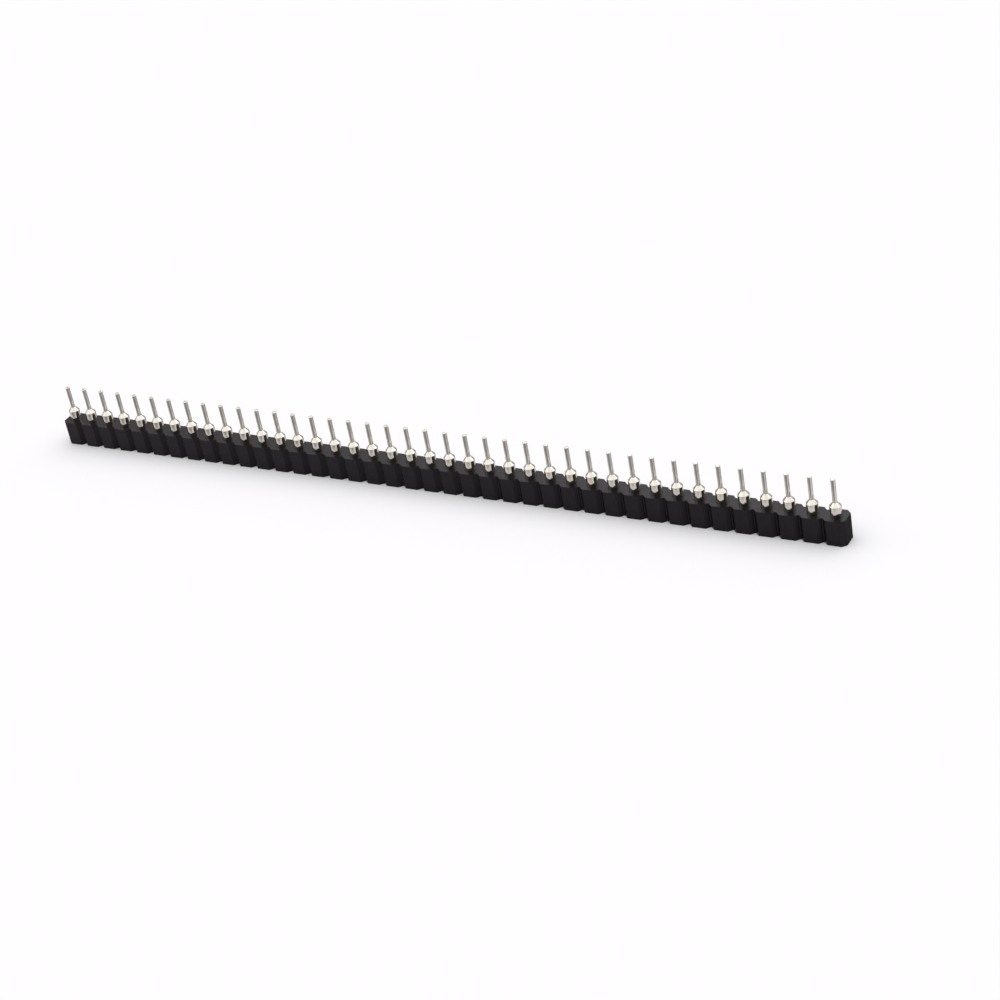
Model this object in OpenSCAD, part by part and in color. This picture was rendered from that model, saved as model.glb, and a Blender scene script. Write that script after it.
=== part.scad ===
// One-row strip of turned contact pins in a moulded housing.
// Each pin is a sleeve with a round tail and a socket in its head, and a spring clip lines the socket.
// The strip stands on its socket face with the tails up. X runs along the row, Y across it,
// and the origin is the middle of the socket face.

/* [Row] */
// Number of contacts in the row
positions = 40; // [2:1:48]
// Distance from one contact to the next
pitch = 2.54; // [2.4:0.02:5.08]

/* [Housing] */
// Width of the housing across the row
housing_w = 2.5; // [2.3:0.05:5]
// Height of the housing along the contacts
housing_h = 3.0; // [2.6:0.1:6]
// Depth of the snap groove between two cells
groove_depth = 0.43; // [0.1:0.01:0.5]
// Width of the flat at the bottom of a snap groove
groove_flat = 0.1; // [0.04:0.02:0.2]
// Angle between a groove's slope and the middle plane of the groove
groove_angle = 45; // [30:1:50]

/* [Pin] */
// Diameter of the barrel
barrel_d = 1.3; // [1.2:0.02:1.5]
// Wall of the barrel around the socket bore
barrel_wall = 0.14; // [0.1:0.01:0.2]
// How far the barrel stands out of the housing
standoff = 1.2; // [0.3:0.05:3]
// How far the head reaches out past the barrel all round
head_overhang = 0.265; // [0.15:0.005:0.35]
// Height of the head
head_h = 0.5; // [0.3:0.05:0.8]
// Chamfer on the outer edge of the head's face
head_chamfer = 0.04; // [0.01:0.01:0.08]
// How far the head's face sits back from the socket face
head_setback = 0.05; // [0:0.01:0.2]
// Height of the taper between the barrel and the tail
taper_h = 0.45; // [0.2:0.05:1]
// Diameter of the tail
tail_d = 0.5; // [0.4:0.02:0.8]
// Length of the tail beyond the taper
tail_l = 2.75; // [1:0.05:6]
// Width and height of the chamfer at the tip of the tail
tip_chamfer = 0.07; // [0.02:0.01:0.15]

/* [Socket] */
// Width of the flat rim around the mouth of the socket
rim_w = 0.19; // [0.1:0.01:0.22]
// Depth of the funnel that leads a mating pin in
funnel_depth = 0.24; // [0.1:0.02:0.4]
// Solid metal left between the socket bore and the start of the taper
bore_floor = 0.8; // [0.5:0.05:1]
// Height of the drill point at the end of the socket bore
drill_point = 0.25; // [0.1:0.01:0.4]

/* [Clip] */
// Thickness of the clip's wall
clip_wall = 0.12; // [0.06:0.01:0.14]
// How far the clip's lip reaches out past its collar
clip_lip = 0.05; // [0.03:0.01:0.06]
// Length of the clip's collar behind the lip
collar_l = 0.6; // [0.3:0.05:0.8]
// Length of the clip's spring fingers
finger_l = 1.3; // [0.8:0.05:1.5]
// Diameter between the closed finger tips
grip_d = 0.4; // [0.3:0.02:0.5]
// Length of the straight stretch at the finger tips
grip_l = 0.2; // [0.1:0.02:0.4]
// Width of the slots between the fingers
slot_w = 0.16; // [0.08:0.01:0.2]
// Number of spring fingers, two for each slot
fingers = 4; // [2:2:6]

/* [Fits] */
// Gap all round between a pin and its hole in the housing
pin_gap = 0.01; // [0.005:0.005:0.03]
// Gap all round between a clip and the socket bore
clip_gap = 0.01; // [0.005:0.005:0.03]

/* [Hidden] */
$fn = 64;
// Overlap that lets a cut run clear of the face it opens
cut_over = 0.1;
// Number of clips that share one node
clips_a_node = 5;

strip_l = positions * pitch;
housing_r = housing_w / 2;
groove_half = groove_flat / 2 + groove_depth * tan(groove_angle);

barrel_r = barrel_d / 2;
head_r = barrel_r + head_overhang;
ledge_z = head_setback + head_h;
tail_r = tail_d / 2;
shoulder_z = housing_h + standoff;
tail_z = shoulder_z + taper_h;
tip_z = tail_z + tail_l;

bore_r = barrel_r - barrel_wall;
bore_z = shoulder_z - bore_floor;
lip_seat_r = bore_r + clip_lip;
mouth_r = head_r - rim_w;

clip_r = bore_r - clip_gap;
clip_bore_r = clip_r - clip_wall;
lip_r = lip_seat_r - clip_gap;
funnel_z = head_setback + funnel_depth;
lip_seat_z = funnel_z + clip_wall;
collar_z = lip_seat_z + collar_l;
finger_z = collar_z + finger_l;
grip_r = grip_d / 2;

clip_nodes = ceil(positions / clips_a_node);

function contact_x(i) = (i - (positions + 1) / 2) * pitch;
function two_digits(n) = n < 10 ? str("0", n) : str(n);
function pin_name(i) = str("pin_", two_digits(i));
function first_clip(k) = (k - 1) * clips_a_node + 1;
function last_clip(k) = min(k * clips_a_node, positions);
function clips_name(k) = str("clips_", two_digits(first_clip(k)), "_to_", two_digits(last_clip(k)));

// Snap groove in the side of the strip at y = 0, opening towards +Y
module groove_outline() {
    over = cut_over * tan(groove_angle);
    polygon([
        [-groove_flat / 2, -groove_depth],
        [groove_flat / 2, -groove_depth],
        [groove_half + over, cut_over],
        [-groove_half - over, cut_over],
    ]);
}

// Outline of the housing: a bar with a groove at each cell's ends, on both sides
module housing_outline() {
    difference() {
        square([strip_l, housing_w], center = true);
        for (i = [0:positions], side = [0, 1]) {
            translate([i * pitch - strip_l / 2, 0])
                mirror([0, side])
                    translate([0, housing_r])
                        groove_outline();
        }
    }
}

// Stepped hole that holds one pin, with the recess for its head at the socket face
module pin_hole() {
    translate([0, 0, -cut_over])
        cylinder(r = barrel_r + pin_gap, h = housing_h + 2 * cut_over);
    translate([0, 0, -cut_over])
        cylinder(r = head_r + pin_gap, h = ledge_z + cut_over);
}

module housing() {
    color("#1d1c1e")
        difference() {
            linear_extrude(housing_h)
                housing_outline();
            for (i = [1:positions]) {
                translate([contact_x(i), 0, 0])
                    pin_hole();
            }
        }
}

// Half section of a pin: head, barrel, taper and tail outside, funnel and bore inside
module pin_section() {
    polygon([
        [mouth_r, head_setback],
        [head_r - head_chamfer, head_setback],
        [head_r, head_setback + head_chamfer],
        [head_r, ledge_z],
        [barrel_r, ledge_z],
        [barrel_r, shoulder_z],
        [tail_r, tail_z],
        [tail_r, tip_z - tip_chamfer],
        [tail_r - tip_chamfer, tip_z],
        [0, tip_z],
        [0, bore_z + drill_point],
        [bore_r, bore_z],
        [bore_r, lip_seat_z],
        [lip_seat_r, lip_seat_z],
        [lip_seat_r, funnel_z],
    ]);
}

module pin(i) {
    color("#cfcdc8")
        translate([contact_x(i), 0, 0])
            rotate_extrude()
                pin_section();
}

// Half section of a clip: rounded lip, collar and a finger that closes in to its straight tip
module clip_section() {
    round_r = clip_wall / 2;
    translate([clip_bore_r + round_r, funnel_z + round_r])
        circle(r = round_r);
    polygon([
        [clip_bore_r + round_r, funnel_z],
        [lip_r, funnel_z],
        [lip_r, lip_seat_z],
        [clip_r, lip_seat_z],
        [clip_r, collar_z],
        [grip_r + clip_wall, finger_z - grip_l],
        [grip_r + clip_wall, finger_z],
        [grip_r, finger_z],
        [grip_r, finger_z - grip_l],
        [clip_bore_r, collar_z],
        [clip_bore_r, funnel_z + round_r],
        [clip_bore_r + round_r, funnel_z + round_r],
    ]);
}

// Slots that part the fingers, each cut through both sides of the clip
module finger_slots() {
    slot_l = finger_l + cut_over;
    for (k = [1:fingers / 2]) {
        rotate(k * 360 / fingers)
            translate([-clip_r - cut_over, -slot_w / 2, collar_z])
                cube([2 * (clip_r + cut_over), slot_w, slot_l]);
    }
}

module clip() {
    difference() {
        rotate_extrude()
            clip_section();
        finger_slots();
    }
}

module clips(k) {
    color("#c9aa62")
        for (i = [first_clip(k):last_clip(k)]) {
            translate([contact_x(i), 0, 0])
                clip();
        }
}

housing();
for (i = [1:positions]) {
    pin(i);
}
for (k = [1:clip_nodes]) {
    clips(k);
}
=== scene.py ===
import math
from typing import NamedTuple

import bmesh
import bpy
from bpy.props import FloatProperty, FloatVectorProperty, IntProperty, PointerProperty
from bpy.types import Operator, Panel, PropertyGroup
from mathutils import Matrix, Vector


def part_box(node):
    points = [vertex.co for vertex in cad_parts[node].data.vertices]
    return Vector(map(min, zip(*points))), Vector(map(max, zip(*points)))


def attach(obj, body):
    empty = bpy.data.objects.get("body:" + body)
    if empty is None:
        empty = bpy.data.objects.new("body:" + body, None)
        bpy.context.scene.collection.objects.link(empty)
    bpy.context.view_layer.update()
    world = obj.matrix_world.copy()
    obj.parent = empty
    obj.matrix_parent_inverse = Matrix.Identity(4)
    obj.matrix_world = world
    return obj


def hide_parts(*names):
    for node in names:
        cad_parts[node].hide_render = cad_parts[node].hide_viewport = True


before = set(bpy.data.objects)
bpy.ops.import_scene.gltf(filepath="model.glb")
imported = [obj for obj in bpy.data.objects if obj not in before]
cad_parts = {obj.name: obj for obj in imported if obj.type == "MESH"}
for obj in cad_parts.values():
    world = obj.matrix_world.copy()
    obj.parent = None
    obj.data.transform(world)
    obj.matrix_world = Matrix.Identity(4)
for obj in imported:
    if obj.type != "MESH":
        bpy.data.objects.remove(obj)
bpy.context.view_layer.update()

bl_info = {
    "name": "Pin Header Strip",
    "version": (1, 0, 0),
    "blender": (4, 5, 0),
    "location": "View3D > Sidebar > Pin Strip",
    "description": "Models a single row of turned contact pins in a black moulded housing",
    "category": "Add Mesh",
}

MM = 0.001
MICRON = 0.000001
WHITE = (1, 1, 1, 1)

HOUSING_LOW, HOUSING_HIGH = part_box("housing")
HOUSING_WIDTH = HOUSING_HIGH.y - HOUSING_LOW.y
HOUSING_HEIGHT = HOUSING_HIGH.z - HOUSING_LOW.z
PIN_NODES = sorted(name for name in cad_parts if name.startswith("pin_"))
CLIP_NODES = sorted(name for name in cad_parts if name.startswith("clips_"))
PIN_LOW, PIN_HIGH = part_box(PIN_NODES[0])
PITCH = (HOUSING_HIGH.x - HOUSING_LOW.x) / len(PIN_NODES)

# Vertices closer together than this are one
DOUBLES_GAP = 0.2 * MICRON
# Least part of a face's normal along an axis for the face to count as facing that way
FACING = 0.9
# Edges of more than this angle stay sharp in the shading, and those of rigid pieces are rounded
EDGE_ANGLE = math.radians(30)
CLIP_EDGE_ANGLE = math.radians(35)
# Faces across a rounded edge
ROUNDING_STEPS = 2
# Facets by which each pin is turned on from its neighbour, so that their finish differs
PIN_TURN_FACETS = 5
# Lines along an arc of a profile
ARC_STEPS = 5

# Length of the cutter for a clip's slots, in radii of its collar
SLOT_REACH = 3

# Cuts each way across the rough break at each end
BREAK_CUTS = 12
# The break reaches in from the end by no more than this many snap depths
BREAK_REACH = 3
# Least part of its normal along the row for a face there to belong to the break
BREAK_FACING = 0.8

FLOOR_DROP = 2 * MICRON
FLOOR_CUTS = 8
FLOOR_ROUGHNESS = 0.9
# Angle in radians by which the top of the mirrored pale band fades to each side
BAND_FADE = 0.1


def length(name, description, default):
    return FloatProperty(
        name=name, description=description, default=default, min=0.0, precision=6, unit="LENGTH"
    )


def colour(name, description, default):
    return FloatVectorProperty(
        name=name,
        description=description,
        default=default,
        size=3,
        min=0.0,
        max=1.0,
        subtype="COLOR",
    )


def share(name, description, default):
    return FloatProperty(
        name=name, description=description, default=default, min=0.0, max=1.0, subtype="FACTOR"
    )


def strength(name, description, default):
    return FloatProperty(name=name, description=description, default=default, min=0.0)


def angle(name, description, degrees):
    default = math.radians(degrees)
    return FloatProperty(name=name, description=description, default=default, subtype="ANGLE")


def face_count(name, description):
    return IntProperty(name=name, description=description, default=48, min=12)


# ---------------------------------------------------------------- settings


class HousingSettings(PropertyGroup):
    groove_depth: length("Groove Depth", "Depth of the snap groove between two cells", 0.43 * MM)
    groove_flat: length(
        "Groove Flat", "Width of the flat at the bottom of a snap groove", 0.10 * MM
    )
    hole_radius: length("Hole Radius", "Radius of the hole that holds a pin's barrel", 0.66 * MM)
    recess_radius: length(
        "Recess Radius", "Radius of the recess that takes a pin's head", 0.925 * MM
    )
    recess_depth: length("Recess Depth", "Depth of the recess from the socket face", 0.55 * MM)
    hole_facets: face_count("Hole Facets", "Faces around each hole")
    edge_round: length(
        "Edge Round", "Width of the rounding that the mould leaves on each edge", 0.03 * MM
    )
    snap_rim: length("Snap Rim", "Width of the rim round the rough break at each end", 0.07 * MM)
    snap_depth: length(
        "Snap Depth",
        "How far the rough break at each end goes in, with as much again in its bumps",
        0.02 * MM,
    )
    plastic_dark: colour(
        "Plastic Dark", "Darker tone of the black plastic", (0.0074, 0.0058, 0.0076)
    )
    plastic_light: colour(
        "Plastic Light", "Lighter tone of the black plastic", (0.0104, 0.0084, 0.0106)
    )
    gloss_low: share("Smoothest", "Roughness of the plastic where it is smoothest", 0.15)
    gloss_high: share("Roughest", "Roughness of the plastic where it is roughest", 0.25)
    sheen: colour("Sheen", "Tint of what the plastic mirrors", (1.0, 0.92, 0.98))
    grain_size: length("Grain Size", "Size of the fine grain that the mould leaves", 0.035 * MM)
    snap_light: colour("Snap Light", "Lighter tone of the rough break", (0.014, 0.013, 0.014))
    snap_gloss: share("Snap Roughness", "Least roughness of the rough break", 0.65)
    snap_grain: length("Snap Grain", "Size of the torn grain of the rough break", 0.09 * MM)


class PinSettings(PropertyGroup):
    head_radius: length("Head Radius", "Radius of the head", 0.915 * MM)
    head_height: length("Head Height", "Height of the head", 0.50 * MM)
    head_chamfer: length("Head Chamfer", "Chamfer on the outer edge of the head's face", 0.04 * MM)
    barrel_radius: length("Barrel Radius", "Radius of the barrel", 0.65 * MM)
    shoulder_height: length(
        "Shoulder Height", "Height at which the barrel ends and the taper starts", 4.20 * MM
    )
    taper_height: length(
        "Taper Height", "Height of the taper between the barrel and the tail", 0.45 * MM
    )
    tail_radius: length("Tail Radius", "Radius of the tail", 0.25 * MM)
    tip_chamfer: length("Tip Chamfer", "Chamfer at the tip of the tail", 0.07 * MM)
    mouth_radius: length("Mouth Radius", "Radius of the funnel at the face of the head", 0.725 * MM)
    funnel_depth: length("Funnel Depth", "Depth of the funnel", 0.24 * MM)
    lip_seat_radius: length(
        "Lip Seat Radius", "Radius of the step that the clip's lip rests in", 0.56 * MM
    )
    lip_seat_depth: length("Lip Seat Depth", "Depth of that step", 0.12 * MM)
    bore_radius: length("Bore Radius", "Radius of the socket bore", 0.51 * MM)
    bore_top: length("Bore Top", "Height at which the socket bore ends", 3.40 * MM)
    drill_point: length(
        "Drill Point", "Height of the drill point at the end of the bore", 0.25 * MM
    )
    facets: face_count("Facets", "Faces around each pin")
    edge_round: length("Edge Round", "Width of the rounding on each turned edge", 0.018 * MM)
    tin_light: colour("Tin Light", "Lighter tone of the tin plating", (0.83, 0.785, 0.71))
    tin_dark: colour("Tin Dark", "Darker tone of the tin plating", (0.71, 0.665, 0.59))
    gloss_low: share("Smoothest", "Roughness of the tin where it is smoothest", 0.07)
    gloss_high: share("Roughest", "Roughness of the tin where it is roughest", 0.15)
    grain_size: length("Grain Size", "Size of the fine grain of the tin", 0.05 * MM)
    ring_pitch: length(
        "Ring Pitch", "Distance between the fine rings that turning leaves", 0.045 * MM
    )


class ClipSettings(PropertyGroup):
    outer_radius: length("Outer Radius", "Radius of the clip's collar outside", 0.50 * MM)
    wall: length("Wall", "Thickness of the clip's wall", 0.12 * MM)
    lip_radius: length("Lip Radius", "Radius of the clip's lip outside", 0.55 * MM)
    collar_length: length("Collar Length", "Length of the collar behind the lip", 0.60 * MM)
    finger_length: length("Finger Length", "Length of the spring fingers", 1.30 * MM)
    grip_radius: length("Grip Radius", "Radius between the closed finger tips", 0.20 * MM)
    grip_length: length(
        "Grip Length", "Length of the straight stretch at the finger tips", 0.20 * MM
    )
    slot_width: length("Slot Width", "Width of the slots between the fingers", 0.16 * MM)
    facets: face_count("Facets", "Faces around each clip")
    gold_light: colour("Gold Light", "Lighter tone of the gold plating", (0.84, 0.71, 0.45))
    gold_dark: colour("Gold Dark", "Darker tone of the gold plating", (0.68, 0.55, 0.33))
    gloss_low: share("Smoothest", "Roughness of the gold where it is smoothest", 0.18)
    gloss_high: share("Roughest", "Roughness of the gold where it is roughest", 0.32)
    grain_size: length("Grain Size", "Size of the fine grain of the gold", 0.03 * MM)


class StageSettings(PropertyGroup):
    floor_size: length("Floor Size", "Side of the square floor", 3.0)
    floor_colour: colour("Floor Colour", "Colour of the floor", (0.965, 0.95, 0.97))
    floor_glow: share(
        "Floor Glow",
        "Light that the floor seems to add of its own, to the eye and in reflections",
        0.04,
    )
    sky_light: share("Sky Light", "Strength of the even light from all round", 0.21)
    wall_tone: share(
        "Wall Tone", "Brightness of the studio's walls where metal and plastic mirror them", 0.18
    )
    wall_low: angle(
        "Wall Top",
        "Height above the floor at which the walls at the sides start to give way to the pale band",
        13.0,
    )
    wall_high: angle(
        "Band Edge", "Height above the floor at which the pale band starts at the sides", 23.0
    )
    wall_tilt: angle(
        "Wall Tilt",
        "How much higher the walls stand behind the strip, and how much lower in front of it",
        8.0,
    )
    band_tone: share(
        "Band Tone",
        "Brightness of the pale band above the walls where metal and plastic mirror it",
        0.95,
    )
    band_high: angle(
        "Band Top",
        "Height above the floor at which the pale band ends and the lamp overhead takes over",
        44.0,
    )
    dark_spread: angle(
        "Dark End Spread",
        "Angle from the middle of the room's dark end, behind the camera, to its edge",
        104.0,
    )
    dark_dip: angle(
        "Dark End Dip", "How far below the horizon the middle of the dark end lies", 60.0
    )
    dark_blur: angle("Dark End Blur", "How far the edge of the dark end fades to each side", 5.0)
    # Painted shade: how dark the floor is drawn where metal and plastic mirror it, darker than it
    # looks to the eye.
    painted_floor_shade: share(
        "Mirrored Floor", "Brightness of the floor where metal and plastic mirror it", 0.74
    )
    # Painted shadow: the dark cards are bands painted into the floor where reflections show it, and
    # no card stands there.
    painted_card_shade: share(
        "Mirrored Card",
        "Brightness of the dark card on each side of the strip, seen only in reflections",
        0.25,
    )
    painted_card_start: length(
        "Card Start",
        "Distance from the middle of the strip at which the dark cards start",
        7.2 * MM,
    )
    painted_card_end: length(
        "Card End", "Distance from the middle of the strip at which the dark cards end", 17.0 * MM
    )
    painted_card_blur: share(
        "Card Blur", "How far the edges of the cards fade, as a share of their distance", 0.15
    )
    top_strength: strength("Top Lamp Strength", "Strength of the lamp overhead", 2.38)
    top_spread: angle(
        "Top Lamp Spread", "Angle across the lamp overhead as seen from the strip", 108.0
    )
    top_azimuth: angle(
        "Top Lamp Azimuth",
        "Turn of the lamp overhead round the strip, from the front towards the right",
        190.0,
    )
    top_elevation: angle("Top Lamp Elevation", "Height of the lamp overhead above the floor", 84.0)
    side_strength: strength("Side Lamp Strength", "Strength of each of the two side lamps", 0.12)
    side_spread: angle("Side Lamp Spread", "Angle across a side lamp as seen from the strip", 36.0)
    side_turn: angle(
        "Side Lamp Turn",
        "Turn of each side lamp round the strip, to the left and right of the camera",
        110.0,
    )
    side_elevation: angle("Side Lamp Elevation", "Height of the side lamps above the floor", 24.0)
    camera_aim: FloatVectorProperty(
        name="Camera Aim",
        description="Point that the camera looks at",
        default=(7.5 * MM, 2.9 * MM, -2.8 * MM),
        size=3,
        precision=5,
        unit="LENGTH",
    )
    camera_azimuth: angle(
        "Camera Azimuth",
        "Turn of the camera round the strip, from the front towards the right",
        33.22,
    )
    camera_elevation: angle("Camera Elevation", "Height of the camera above the floor", 30.83)
    camera_roll: angle("Camera Roll", "Lean of the camera", -10.9)
    camera_distance: length("Camera Distance", "Distance from the camera to the aim", 257.0 * MM)
    camera_lens: FloatProperty(
        name="Camera Lens",
        description="Focal length of the camera in millimetres",
        default=81.5,
        min=1.0,
        subtype="NONE",
    )


# ---------------------------------------------------------------- modelling


def leave_edit_mode():
    if bpy.context.object and bpy.context.object.mode == "EDIT":
        bpy.ops.object.mode_set(mode="OBJECT")


def pick_mode(kind):
    """Makes the selection in edit mode work on vertices, edges or faces."""
    modes = (kind == "verts", kind == "edges", kind == "faces")
    bpy.context.tool_settings.mesh_select_mode = modes


def start_piece(name):
    """Takes the primitive that was just added as a new piece, in edit mode."""
    piece = bpy.context.object
    piece.name = piece.data.name = name
    bpy.ops.object.mode_set(mode="EDIT")
    pick_mode("verts")
    return piece


def clear_selection():
    leave_edit_mode()
    bpy.ops.object.select_all(action="DESELECT")


def select_only(piece):
    clear_selection()
    piece.select_set(True)
    bpy.context.view_layer.objects.active = piece


def select_parts(piece, kind, wanted):
    """Selects the wanted vertices, edges or faces of a piece in edit mode, and no others."""
    pick_mode(kind)
    bpy.ops.mesh.select_all(action="DESELECT")
    shape = bmesh.from_edit_mesh(piece.data)
    shape.normal_update()
    for part in getattr(shape, kind):
        if wanted(part):
            part.select_set(True)
    shape.select_flush_mode()
    bmesh.update_edit_mesh(piece.data)


def same(a, b):
    """Whether two places along an axis are the same to a micron."""
    return abs(a - b) < MICRON


def is_upright(edge):
    a, b = (v.co for v in edge.verts)
    return same(a.x, b.x) and same(a.y, b.y)


def is_level(edge, height):
    return all(same(v.co.z, height) for v in edge.verts)


def move(x=0.0, y=0.0, z=0.0):
    bpy.ops.transform.translate(value=(x, y, z))


def extrude(x=0.0, y=0.0, z=0.0):
    """Extrudes the selection in edit mode and moves what is new."""
    bpy.ops.mesh.extrude_region_move(TRANSFORM_OT_translate={"value": (x, y, z)})


def close_shell():
    """Merges doubled vertices and turns the faces of a piece in edit mode outwards."""
    bpy.ops.mesh.select_all(action="SELECT")
    bpy.ops.mesh.remove_doubles(threshold=DOUBLES_GAP)
    bpy.ops.mesh.select_all(action="SELECT")
    bpy.ops.mesh.normals_make_consistent(inside=False)


def apply_modifier(piece, kind, **values):
    bpy.ops.object.modifier_add(type=kind)
    modifier = piece.modifiers[-1]
    for name, value in values.items():
        setattr(modifier, name, value)
    bpy.ops.object.modifier_apply(modifier=modifier.name)


def round_edges(piece, width):
    """Rounds each edge a little, and keeps the flats beside the roundings flat to the eye."""
    select_only(piece)
    bpy.ops.object.shade_smooth_by_angle(angle=EDGE_ANGLE)
    apply_modifier(
        piece,
        "BEVEL",
        width=width,
        segments=ROUNDING_STEPS,
        limit_method="ANGLE",
        angle_limit=EDGE_ANGLE,
        harden_normals=True,
    )


def draw_profile(name, points):
    """Draws a line through points, each a radius and a height, by extruding one vertex."""
    clear_selection()
    bpy.ops.mesh.primitive_plane_add(size=MM)
    piece = start_piece(name)
    bpy.ops.mesh.merge(type="CENTER")
    move(x=points[0][0], z=points[0][1])
    for (r0, z0), (r1, z1) in zip(points, points[1:]):
        extrude(x=r1 - r0, z=z1 - z0)
    return piece


def turn_profile(steps):
    """Spins the profile in edit mode once round the upright axis."""
    bpy.ops.mesh.select_all(action="SELECT")
    bpy.ops.mesh.spin(steps=steps, angle=math.tau, center=(0, 0, 0), axis=(0, 0, 1))
    close_shell()


def corner_arc(centre, radius, first, last):
    """Points of an arc of a profile, from one angle to another in degrees."""
    turns = [math.radians(first + (last - first) * k / ARC_STEPS) for k in range(ARC_STEPS + 1)]
    return [(centre[0] + radius * math.cos(t), centre[1] + radius * math.sin(t)) for t in turns]


def contact_x(index):
    return HOUSING_LOW.x + (index + 0.5) * PITCH


def copy_to_contact(pattern, name, index, turn=0.0):
    """A copy of a turned piece with its own mesh, turned by an angle and moved to a contact."""
    piece = pattern.copy()
    piece.data = pattern.data.copy()
    piece.name = piece.data.name = name
    place = Matrix.Translation((contact_x(index), 0, 0))
    piece.data.transform(place @ Matrix.Rotation(turn, 4, "Z"))
    bpy.context.collection.objects.link(piece)
    return piece


def hand_over(piece, slot, *nodes):
    """Gives a finished piece its body and hides the nodes that it replaces. The slot is not used.
    """
    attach(piece, "root")
    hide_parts(*nodes)


# ---------------------------------------------------------------- directions


def direction(azimuth, elevation):
    """A direction from the strip: turned from the front to the right, and lifted."""
    away = math.cos(elevation)
    return Vector((math.sin(azimuth) * away, -math.cos(azimuth) * away, math.sin(elevation)))


def place_facing(place, away):
    """The place of a lamp or camera that looks back along a direction."""
    return Matrix.Translation(place) @ away.to_track_quat("Z", "Y").to_matrix().to_4x4()


# ---------------------------------------------------------------- node helpers


def put(tree, socket, value):
    """Gives a socket a value of its own, or links it to another node's output."""
    if isinstance(value, bpy.types.NodeSocket):
        tree.links.new(value, socket)
    else:
        socket.default_value = value


def add_math(tree, operation, *values):
    node = tree.nodes.new("ShaderNodeMath")
    node.operation = operation
    for socket, value in zip(node.inputs, values):
        put(tree, socket, value)
    return node.outputs["Value"]


def add_range(tree, value, source, target, kind="LINEAR"):
    """Carries a value from one span over to another, and holds it at the ends."""
    node = tree.nodes.new("ShaderNodeMapRange")
    node.interpolation_type = kind
    names = ("Value", "From Min", "From Max", "To Min", "To Max")
    for name, number in zip(names, (value, *source, *target)):
        put(tree, node.inputs[name], number)
    return node.outputs["Result"]


def soft_step(tree, value, source, target):
    """A smooth change from one number to another while the value crosses its span."""
    return add_range(tree, value, source, target, "SMOOTHSTEP")


def mix_values(tree, amount, low, high):
    """low where the amount is 0 and high where it is 1."""
    return add_math(tree, "MULTIPLY_ADD", amount, add_math(tree, "SUBTRACT", high, low), low)


def add_along(tree, looking, towards):
    """How far a direction of sight points along a given one, from -1 to 1."""
    node = tree.nodes.new("ShaderNodeVectorMath")
    node.operation = "DOT_PRODUCT"
    put(tree, node.inputs[0], looking)
    put(tree, node.inputs[1], towards)
    return node.outputs["Value"]


def add_noise(tree, place, size, detail, roughness=0.5):
    """Noise whose bumps are about as wide as the size, which is a socket."""
    node = tree.nodes.new("ShaderNodeTexNoise")
    put(tree, node.inputs["Vector"], place)
    put(tree, node.inputs["Scale"], add_math(tree, "DIVIDE", 1.0, size))
    put(tree, node.inputs["Detail"], detail)
    put(tree, node.inputs["Roughness"], roughness)
    return node.outputs["Fac"]


# ---------------------------------------------------------------- node groups

# Values of the noise between which a surface goes from one end of its finish to the other
ROUGHNESS_NOISE = (0.3, 0.7)
TONE_NOISE = (0.35, 0.65)
# Parts of the patches and of the flecks in the tone
PATCH_SHARE = 0.6
FLECK_SHARE = 0.4
# Places of a Mix node's sockets for colours
MIX_FIRST, MIX_SECOND, MIX_RESULT = 6, 7, 2


def new_group(name, inputs, outputs):
    """A shader node group with named sockets: the group, what it is given, what it puts out."""
    group = bpy.data.node_groups.new(name, "ShaderNodeTree")
    for socket, kind, default in inputs:
        made = group.interface.new_socket(socket, in_out="INPUT", socket_type=kind)
        if default is not None:
            made.default_value = default
    for socket, kind in outputs:
        group.interface.new_socket(socket, in_out="OUTPUT", socket_type=kind)
    given = group.nodes.new("NodeGroupInput").outputs
    result = group.nodes.new("NodeGroupOutput").inputs
    return group, given, result


def uneven_finish_group(name):
    """Two colours and two roughnesses that drift over a surface, in soft patches and flecks."""
    group, given, result = new_group(
        name,
        [
            ("Place", "NodeSocketVector", None),
            ("Patch Size", "NodeSocketFloat", 0.6 * MM),
            ("Fleck Size", "NodeSocketFloat", 0.05 * MM),
            ("Dark", "NodeSocketColor", (0, 0, 0, 1)),
            ("Light", "NodeSocketColor", WHITE),
            ("Smoothest", "NodeSocketFloat", 0.3),
            ("Roughest", "NodeSocketFloat", 0.5),
        ],
        [("Colour", "NodeSocketColor"), ("Roughness", "NodeSocketFloat")],
    )
    patches = add_noise(group, given["Place"], given["Patch Size"], detail=2.0)
    flecks = add_noise(group, given["Place"], given["Fleck Size"], detail=1.0)
    tone = add_math(group, "MULTIPLY", patches, PATCH_SHARE)
    tone = add_math(group, "MULTIPLY_ADD", flecks, FLECK_SHARE, tone)
    mix = group.nodes.new("ShaderNodeMix")
    mix.data_type = "RGBA"
    put(group, mix.inputs["Factor"], add_range(group, tone, TONE_NOISE, (0.0, 1.0)))
    put(group, mix.inputs[MIX_FIRST], given["Dark"])
    put(group, mix.inputs[MIX_SECOND], given["Light"])
    put(group, result["Colour"], mix.outputs[MIX_RESULT])
    ends = (given["Smoothest"], given["Roughest"])
    put(group, result["Roughness"], add_range(group, patches, ROUGHNESS_NOISE, ends))
    return group


def fine_grain_group(name):
    """Height of a fine grain, with a coarser ripple under it."""
    group, given, result = new_group(
        name,
        [
            ("Place", "NodeSocketVector", None),
            ("Grain Size", "NodeSocketFloat", 0.035 * MM),
            ("Ripple Size", "NodeSocketFloat", 0.8 * MM),
            ("Ripple Share", "NodeSocketFloat", 0.5),
        ],
        [("Height", "NodeSocketFloat")],
    )
    grain = add_noise(group, given["Place"], given["Grain Size"], detail=3.0, roughness=0.6)
    ripple = add_noise(group, given["Place"], given["Ripple Size"], detail=1.0)
    height = add_math(group, "MULTIPLY_ADD", ripple, given["Ripple Share"], grain)
    put(group, result["Height"], height)
    return group


# ---------------------------------------------------------------- materials


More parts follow.
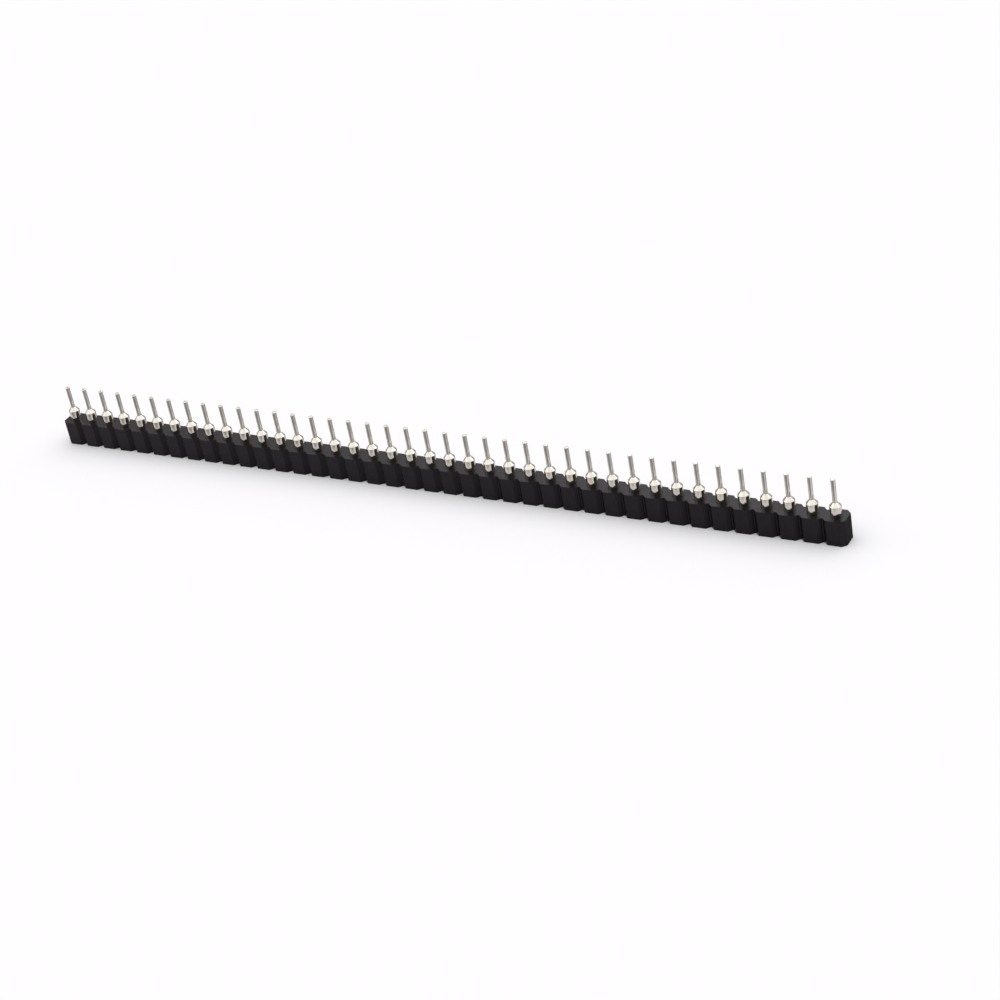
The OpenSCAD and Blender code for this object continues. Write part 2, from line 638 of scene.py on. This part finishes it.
class Texture(NamedTuple):
    """How uneven a finish is, apart from the size of its grain."""

    # Width of the soft patches and of the fine flecks
    patch: float
    fleck: float
    # Width of the ripple, and its height as a share of the grain's
    ripple: float
    ripple_share: float
    # Strength and height of the bumps
    bump: float
    rise: float


MOULDED = Texture(
    patch=0.9 * MM, fleck=0.06 * MM, ripple=0.7 * MM, ripple_share=1.5, bump=0.35, rise=0.004 * MM
)
TORN = Texture(
    patch=0.25 * MM, fleck=0.05 * MM, ripple=0.3 * MM, ripple_share=1.5, bump=0.8, rise=0.02 * MM
)
TURNED = Texture(
    patch=0.5 * MM, fleck=0.04 * MM, ripple=0.6 * MM, ripple_share=1.0, bump=0.12, rise=0.002 * MM
)
FORMED = Texture(
    patch=0.3 * MM, fleck=0.03 * MM, ripple=0.3 * MM, ripple_share=1.0, bump=0.25, rise=0.002 * MM
)

MOULDED_SPECULAR = 0.2
TORN_SPECULAR = 0.12
# How much duller the torn plastic is where it is roughest
TORN_ROUGHNESS_SPAN = 0.15

# A Wave texture takes the sine of the place times its scale times this
WAVE_FACTOR = 20
RING_DISTORTION = 1.5
# Height of the turning rings as a share of the grain's
RING_SHARE = 0.4


class Finish:
    """One material: a Principled shader, a place read from Object coordinates, a texture."""

    def __init__(self, name, metallic, texture):
        self.material = bpy.data.materials.new(name)
        self.material.use_nodes = True
        self.tree = self.material.node_tree
        self.shader = self.tree.nodes["Principled BSDF"]
        self.texture = texture
        self.set_input("Metallic", metallic)
        coordinates = self.tree.nodes.new("ShaderNodeTexCoord")
        mapping = self.tree.nodes.new("ShaderNodeMapping")
        put(self.tree, mapping.inputs["Vector"], coordinates.outputs["Object"])
        self.place = mapping.outputs["Vector"]

    def set_input(self, socket, value):
        put(self.tree, self.shader.inputs[socket], value)

    def add_group(self, name, make, values):
        """Places a shared group with its own values. The group is made when first asked for."""
        node = self.tree.nodes.new("ShaderNodeGroup")
        node.node_tree = bpy.data.node_groups.get(name) or make(name)
        for socket, value in {"Place": self.place, **values}.items():
            put(self.tree, node.inputs[socket], value)
        return node.outputs

    def drift(self, dark, light, smoothest, roughest):
        """Lets the colour and the roughness drift between two ends."""
        values = {
            "Patch Size": self.texture.patch,
            "Fleck Size": self.texture.fleck,
            "Dark": (*dark, 1),
            "Light": (*light, 1),
            "Smoothest": smoothest,
            "Roughest": roughest,
        }
        uneven = self.add_group("Uneven Finish", uneven_finish_group, values)
        self.set_input("Base Color", uneven["Colour"])
        self.set_input("Roughness", uneven["Roughness"])

    def grain(self, size):
        values = {
            "Grain Size": size,
            "Ripple Size": self.texture.ripple,
            "Ripple Share": self.texture.ripple_share,
        }
        return self.add_group("Fine Grain", fine_grain_group, values)["Height"]

    def bump(self, height):
        node = self.tree.nodes.new("ShaderNodeBump")
        put(self.tree, node.inputs["Strength"], self.texture.bump)
        put(self.tree, node.inputs["Distance"], self.texture.rise)
        put(self.tree, node.inputs["Height"], height)
        self.set_input("Normal", node.outputs["Normal"])


def black_plastic(s):
    finish = Finish("Black Moulded Plastic", 0.0, MOULDED)
    finish.drift(s.plastic_dark, s.plastic_light, s.gloss_low, s.gloss_high)
    finish.bump(finish.grain(s.grain_size))
    finish.set_input("Specular IOR Level", MOULDED_SPECULAR)
    finish.set_input("Specular Tint", (*s.sheen, 1))
    return finish.material


def snapped_plastic(s):
    """The same plastic where the strip was snapped off: dull, with a coarse torn grain."""
    finish = Finish("Snapped Plastic", 0.0, TORN)
    roughest = s.snap_gloss + TORN_ROUGHNESS_SPAN
    finish.drift(s.plastic_dark, s.snap_light, s.snap_gloss, roughest)
    finish.bump(finish.grain(s.snap_grain))
    finish.set_input("Specular IOR Level", TORN_SPECULAR)
    return finish.material


def add_turning_rings(finish, pitch):
    """The fine rings that the lathe's tool leaves round a pin."""
    rings = finish.tree.nodes.new("ShaderNodeTexWave")
    rings.wave_type = "BANDS"
    rings.bands_direction = "Z"
    put(finish.tree, rings.inputs["Scale"], math.tau / WAVE_FACTOR / pitch)
    put(finish.tree, rings.inputs["Distortion"], RING_DISTORTION)
    put(finish.tree, rings.inputs["Vector"], finish.place)
    return rings.outputs["Fac"]


def tin_plating(s):
    finish = Finish("Tin Plating", 1.0, TURNED)
    finish.drift(s.tin_dark, s.tin_light, s.gloss_low, s.gloss_high)
    rings = add_turning_rings(finish, s.ring_pitch)
    grain = finish.grain(s.grain_size)
    finish.bump(add_math(finish.tree, "MULTIPLY_ADD", rings, RING_SHARE, grain))
    return finish.material


def gold_plating(s):
    finish = Finish("Gold Plating", 1.0, FORMED)
    finish.drift(s.gold_dark, s.gold_light, s.gloss_low, s.gloss_high)
    finish.bump(finish.grain(s.grain_size))
    return finish.material


# ---------------------------------------------------------------- operators


class PINSTRIP_OT_housing(Operator):
    """Model the moulded housing"""

    bl_idname = "pin_strip.housing"
    bl_label = "Moulded Housing"

    def model_outline(self, cell, settings):
        """The sides of one cell: chamfered corners, and half a groove's flat at each end."""
        size = (PITCH - settings.groove_flat, HOUSING_WIDTH, HOUSING_HEIGHT)
        bpy.ops.transform.resize(value=size, center_override=(0, 0, 0))
        move(z=HOUSING_HEIGHT / 2)
        select_parts(cell, "edges", is_upright)
        bpy.ops.mesh.bevel(offset=settings.groove_depth, segments=1, affect="EDGES")
        select_parts(cell, "faces", lambda face: abs(face.normal.z) > FACING)
        bpy.ops.mesh.delete(type="ONLY_FACE")
        for side in (-1, 1):
            select_parts(cell, "faces", lambda face: face.normal.x * side > FACING)
            extrude(x=side * settings.groove_flat / 2)
            bpy.ops.mesh.delete(type="ONLY_FACE")

    def model_hole(self, settings):
        """The wall of the stepped hole, from the recess at the socket face to the other face."""
        pick_mode("verts")
        bpy.ops.mesh.select_all(action="DESELECT")
        bpy.ops.mesh.primitive_circle_add(
            vertices=settings.hole_facets, radius=settings.recess_radius, location=(0, 0, 0)
        )
        ledge = settings.recess_depth
        extrude(z=ledge)
        extrude()
        shrink = settings.hole_radius / settings.recess_radius
        bpy.ops.transform.resize(value=(shrink, shrink, 1), center_override=(0, 0, ledge))
        extrude(z=HOUSING_HEIGHT - ledge)

    def bridge_face(self, cell, height, settings):
        """Fills the flat face between the outline of the cell and the hole, at one height."""
        reach = PITCH / 2 - settings.groove_flat / 2 + MICRON

        def is_inner(edge):
            return edge.is_boundary and all(abs(v.co.x) < reach for v in edge.verts)

        def wanted(edge):
            return is_level(edge, height) and (edge.is_wire or is_inner(edge))

        select_parts(cell, "edges", wanted)
        bpy.ops.mesh.bridge_edge_loops()

    def roughen_end(self, housing, side, settings):
        """Makes the flat at one end a rough break, as where the strip was snapped off."""
        end = HOUSING_HIGH.x if side > 0 else HOUSING_LOW.x

        def is_rim(edge):
            return edge.is_boundary and all(same(v.co.x, end) for v in edge.verts)

        def is_end(face):
            return face.normal.x * side > FACING and same(face.calc_center_median().x, end)

        select_parts(housing, "edges", is_rim)
        bpy.ops.mesh.edge_face_add()
        select_parts(housing, "faces", is_end)
        bpy.ops.mesh.inset(thickness=settings.snap_rim, depth=0)
        bpy.ops.mesh.subdivide(number_cuts=BREAK_CUTS)
        move(x=-side * settings.snap_depth)
        bpy.ops.transform.vertex_random(
            offset=settings.snap_depth, uniform=0.3, normal=0.7, seed=4
        )

    def repeat_cell(self, housing):
        """Repeats the cell along the row and moves the row to its place."""
        leave_edit_mode()
        apply_modifier(
            housing,
            "ARRAY",
            count=len(PIN_NODES),
            use_relative_offset=False,
            use_constant_offset=True,
            constant_offset_displace=(PITCH, 0, 0),
            use_merge_vertices=True,
            merge_threshold=MICRON,
        )
        bpy.ops.object.mode_set(mode="EDIT")
        bpy.ops.mesh.select_all(action="SELECT")
        move(x=contact_x(0), z=HOUSING_LOW.z)

    def add_materials(self, housing, settings):
        housing.data.materials.append(black_plastic(settings))
        housing.data.materials.append(snapped_plastic(settings))
        reach = HOUSING_HIGH.x - BREAK_REACH * settings.snap_depth
        for face in housing.data.polygons:
            if abs(face.center.x) > reach and abs(face.normal.x) > BREAK_FACING:
                face.material_index = 1

    def execute(self, context):
        settings = context.scene.pin_strip_housing
        clear_selection()
        bpy.ops.mesh.primitive_cube_add(size=1)
        housing = start_piece("moulded_housing")
        self.model_outline(housing, settings)
        self.model_hole(settings)
        self.bridge_face(housing, 0.0, settings)
        self.bridge_face(housing, HOUSING_HEIGHT, settings)
        self.repeat_cell(housing)
        for side in (-1, 1):
            self.roughen_end(housing, side, settings)
        close_shell()
        leave_edit_mode()
        round_edges(housing, settings.edge_round)
        self.add_materials(housing, settings)
        hand_over(housing, "housing_plastic", "housing")
        return {"FINISHED"}


class PINSTRIP_OT_pins(Operator):
    """Model the turned pins"""

    bl_idname = "pin_strip.pins"
    bl_label = "Turned Pins"

    def profile(self, s):
        """Half section of a pin, from the tip down the outside and back up the bore."""
        face = PIN_LOW.z
        ledge = face + s.head_height
        tip = PIN_HIGH.z
        funnel = face + s.funnel_depth
        seat = funnel + s.lip_seat_depth
        return [
            (0, tip),
            (s.tail_radius - s.tip_chamfer, tip),
            (s.tail_radius, tip - s.tip_chamfer),
            (s.tail_radius, s.shoulder_height + s.taper_height),
            (s.barrel_radius, s.shoulder_height),
            (s.barrel_radius, ledge),
            (s.head_radius, ledge),
            (s.head_radius, face + s.head_chamfer),
            (s.head_radius - s.head_chamfer, face),
            (s.mouth_radius, face),
            (s.lip_seat_radius, funnel),
            (s.lip_seat_radius, seat),
            (s.bore_radius, seat),
            (s.bore_radius, s.bore_top),
            (0, s.bore_top + s.drill_point),
        ]

    def execute(self, context):
        settings = context.scene.pin_strip_pins
        pattern = draw_profile("turned_pin", self.profile(settings))
        turn_profile(settings.facets)
        leave_edit_mode()
        round_edges(pattern, settings.edge_round)
        pattern.data.materials.append(tin_plating(settings))
        for index, node in enumerate(PIN_NODES):
            turn = math.tau * (index * PIN_TURN_FACETS % settings.facets) / settings.facets
            pin = copy_to_contact(pattern, f"turned_{node}", index, turn)
            hand_over(pin, "tin_plating", node)
        bpy.data.objects.remove(pattern)
        return {"FINISHED"}


class PINSTRIP_OT_clips(Operator):
    """Model the spring clips in the sockets"""

    bl_idname = "pin_strip.clips"
    bl_label = "Spring Clips"

    def profile(self, s, lip):
        """Half section of a clip: rounded lip, collar, and a finger that closes in to its tip."""
        seat = lip + s.wall
        collar = seat + s.collar_length
        end = collar + s.finger_length
        inner = s.outer_radius - s.wall
        roll = s.wall / 2
        lip_roll = corner_arc((inner + roll, lip + roll), roll, first=270, last=180)
        return [
            (s.lip_radius, lip),
            *lip_roll,
            (inner, collar),
            (s.grip_radius, end - s.grip_length),
            (s.grip_radius, end),
            (s.grip_radius + s.wall, end),
            (s.grip_radius + s.wall, end - s.grip_length),
            (s.outer_radius, collar),
            (s.outer_radius, seat),
            (s.lip_radius, seat),
            (s.lip_radius, lip),
        ]

    def cut_slots(self, clip, s, collar):
        """Cuts two crossed slots that part the four fingers."""
        clear_selection()
        depth = s.finger_length + s.wall
        bpy.ops.mesh.primitive_cube_add(size=1)
        cutter = start_piece("slot_cutter")
        size = (SLOT_REACH * s.outer_radius, s.slot_width, depth)
        bpy.ops.transform.resize(value=size, center_override=(0, 0, 0))
        move(z=collar + depth / 2)
        leave_edit_mode()
        for turn in (0, 90):
            cutter.rotation_euler.z = math.radians(turn)
            select_only(clip)
            apply_modifier(clip, "BOOLEAN", operation="DIFFERENCE", solver="EXACT", object=cutter)
        bpy.data.objects.remove(cutter)

    def execute(self, context):
        settings = context.scene.pin_strip_clips
        lip = PIN_LOW.z + context.scene.pin_strip_pins.funnel_depth
        pattern = draw_profile("spring_clip", self.profile(settings, lip))
        turn_profile(settings.facets)
        leave_edit_mode()
        self.cut_slots(pattern, settings, lip + settings.wall + settings.collar_length)
        select_only(pattern)
        bpy.ops.object.shade_smooth_by_angle(angle=CLIP_EDGE_ANGLE)
        pattern.data.materials.append(gold_plating(settings))
        for node in CLIP_NODES:
            first, last = (int(word) for word in node.split("_") if word.isdigit())
            for number in range(first, last + 1):
                clip = copy_to_contact(pattern, f"spring_clip_{number:02d}", number - 1)
                hand_over(clip, "gold_plating", node)
        bpy.data.objects.remove(pattern)
        return {"FINISHED"}


class PINSTRIP_OT_stage(Operator):
    """Set up the floor, the light and the camera"""

    bl_idname = "pin_strip.stage"
    bl_label = "Floor, Light and Camera"

    def painted_floor_reflection(self, tree, settings):
        """Painted shade that only reflections show: the floor darker than it looks to the eye, with
        a painted dark band, called a card, on each side of the strip.
        """
        place = tree.nodes.new("ShaderNodeTexCoord")
        across = tree.nodes.new("ShaderNodeSeparateXYZ")
        put(tree, across.inputs[0], place.outputs["Object"])
        away = add_math(tree, "ABSOLUTE", across.outputs["Y"])
        floor, card = settings.painted_floor_shade, settings.painted_card_shade
        near, far = 1 - settings.painted_card_blur, 1 + settings.painted_card_blur
        first, last = settings.painted_card_start, settings.painted_card_end
        start = soft_step(tree, away, (first * near, first * far), (floor, card))
        end = soft_step(tree, away, (last * near, last * far), (0.0, floor - card))
        return add_math(tree, "ADD", start, end)

    def floor_material(self, settings):
        material = bpy.data.materials.new("Studio Floor")
        material.use_nodes = True
        tree = material.node_tree
        shader = tree.nodes["Principled BSDF"].inputs
        shader["Roughness"].default_value = FLOOR_ROUGHNESS
        shader["Specular IOR Level"].default_value = 0.0
        shader["Emission Color"].default_value = WHITE
        # Painted shade: for glossy rays the floor's colour is scaled down, with painted dark bands
        # beside the strip.
        painted_reflection = self.painted_floor_reflection(tree, settings)
        path = tree.nodes.new("ShaderNodeLightPath").outputs
        colour = tree.nodes.new("ShaderNodeVectorMath")
        colour.operation = "SCALE"
        put(tree, colour.inputs[0], settings.floor_colour)
        put(tree, colour.inputs["Scale"], mix_values(tree, path["Is Glossy Ray"], 1.0, painted_reflection))
        put(tree, shader["Base Color"], colour.outputs["Vector"])
        seen = add_math(tree, "MAXIMUM", self.direct_sight(tree, path), path["Is Glossy Ray"])
        glow = add_math(tree, "MULTIPLY", seen, settings.floor_glow)
        put(tree, shader["Emission Strength"], glow)
        return material

    def lay_floor(self, settings):
        clear_selection()
        bpy.ops.mesh.primitive_grid_add(
            x_subdivisions=FLOOR_CUTS,
            y_subdivisions=FLOOR_CUTS,
            size=settings.floor_size,
            location=(0, 0, -FLOOR_DROP),
        )
        floor = bpy.context.object
        floor.name = floor.data.name = "studio_floor"
        floor.data.materials.append(self.floor_material(settings))

    def direct_sight(self, tree, path):
        """1 for what the eye sees, also through clear pieces, and 0 for the rest."""
        return add_math(tree, "MAXIMUM", path["Is Camera Ray"], path["Is Transmission Ray"])

    def mirrored_room(self, tree, settings):
        """The room as a mirror shows it: walls under a pale band, and a dark end."""
        behind = direction(settings.camera_azimuth + math.pi, 0.0)
        level = Vector((0, 0, math.cos(settings.wall_tilt)))
        upwards = level - behind * math.sin(settings.wall_tilt)
        looking = tree.nodes.new("ShaderNodeTexCoord").outputs["Generated"]
        height = add_along(tree, looking, upwards)
        wall, band = settings.wall_tone, settings.band_tone
        rise = (math.sin(settings.wall_low), math.sin(settings.wall_high))
        tone = soft_step(tree, height, rise, (wall, band))
        dark_end = direction(settings.camera_azimuth, -settings.dark_dip)
        edge, blur = settings.dark_spread, settings.dark_blur
        rim = (math.cos(edge + blur), math.cos(edge - blur))
        pale = soft_step(tree, add_along(tree, looking, dark_end), rim, (1.0, 0.0))
        tone = mix_values(tree, pale, wall, tone)
        top = settings.band_high
        fade = (math.sin(top - BAND_FADE), math.sin(top + BAND_FADE))
        below_lamp = soft_step(tree, height, fade, (1.0, 0.0))
        return add_math(tree, "MULTIPLY", tone, below_lamp)

    def light_sky(self, scene, settings):
        world = bpy.data.worlds.new("Studio Sky")
        world.use_nodes = True
        scene.world = world
        tree = world.node_tree
        background = tree.nodes["Background"].inputs
        background["Color"].default_value = WHITE
        path = tree.nodes.new("ShaderNodeLightPath").outputs
        direct = self.direct_sight(tree, path)
        room = self.mirrored_room(tree, settings)
        tone = mix_values(tree, path["Is Glossy Ray"], settings.sky_light, room)
        put(tree, background["Strength"], mix_values(tree, direct, tone, 1.0))

    def hang_lamp(self, name, strength, spread, azimuth, elevation):
        clear_selection()
        bpy.ops.object.light_add(type="SUN")
        lamp = bpy.context.object
        lamp.name = lamp.data.name = name
        lamp.data.energy = strength
        lamp.data.angle = spread
        away = direction(azimuth, elevation)
        lamp.matrix_world = place_facing(away, away)

    def hang_lamps(self, s):
        self.hang_lamp("top_softbox", s.top_strength, s.top_spread, s.top_azimuth, s.top_elevation)
        for name, turn in (("left_softbox", -s.side_turn), ("right_softbox", s.side_turn)):
            azimuth = s.camera_azimuth + turn
            self.hang_lamp(name, s.side_strength, s.side_spread, azimuth, s.side_elevation)

    def place_camera(self, scene, settings):
        clear_selection()
        bpy.ops.object.camera_add()
        camera = bpy.context.object
        camera.name = camera.data.name = "product_camera"
        camera.data.lens = settings.camera_lens
        camera.data.sensor_width = 36.0
        camera.data.clip_start = 10 * MM
        away = direction(settings.camera_azimuth, settings.camera_elevation)
        place = Vector(settings.camera_aim) + away * settings.camera_distance
        lean = Matrix.Rotation(settings.camera_roll, 4, "Z")
        camera.matrix_world = place_facing(place, away) @ lean
        scene.camera = camera

    def execute(self, context):
        settings = context.scene.pin_strip_stage
        context.scene.view_settings.view_transform = "Standard"
        self.lay_floor(settings)
        self.light_sky(context.scene, settings)
        self.hang_lamps(settings)
        self.place_camera(context.scene, settings)
        return {"FINISHED"}


class PINSTRIP_PT_panel(Panel):
    """Pieces and settings of the strip"""

    bl_label = "Pin Header Strip"
    bl_idname = "PINSTRIP_PT_panel"
    bl_space_type = "VIEW_3D"
    bl_region_type = "UI"
    bl_category = "Pin Strip"

    def draw(self, context):
        for _, pointer, operator in SECTIONS:
            box = self.layout.box()
            box.operator(operator.bl_idname)
            settings = getattr(context.scene, pointer)
            for name in settings.__annotations__:
                box.prop(settings, name)


SECTIONS = [
    (HousingSettings, "pin_strip_housing", PINSTRIP_OT_housing),
    (PinSettings, "pin_strip_pins", PINSTRIP_OT_pins),
    (ClipSettings, "pin_strip_clips", PINSTRIP_OT_clips),
    (StageSettings, "pin_strip_stage", PINSTRIP_OT_stage),
]


def register():
    for settings, pointer, operator in SECTIONS:
        bpy.utils.register_class(settings)
        bpy.utils.register_class(operator)
        setattr(bpy.types.Scene, pointer, PointerProperty(type=settings))
    bpy.utils.register_class(PINSTRIP_PT_panel)


def unregister():
    bpy.utils.unregister_class(PINSTRIP_PT_panel)
    for settings, pointer, operator in reversed(SECTIONS):
        delattr(bpy.types.Scene, pointer)
        bpy.utils.unregister_class(operator)
        bpy.utils.unregister_class(settings)


def main():
    register()
    bpy.ops.pin_strip.housing()
    bpy.ops.pin_strip.pins()
    bpy.ops.pin_strip.clips()
    bpy.ops.pin_strip.stage()
    clear_selection()


if __name__ == "__main__":
    main()
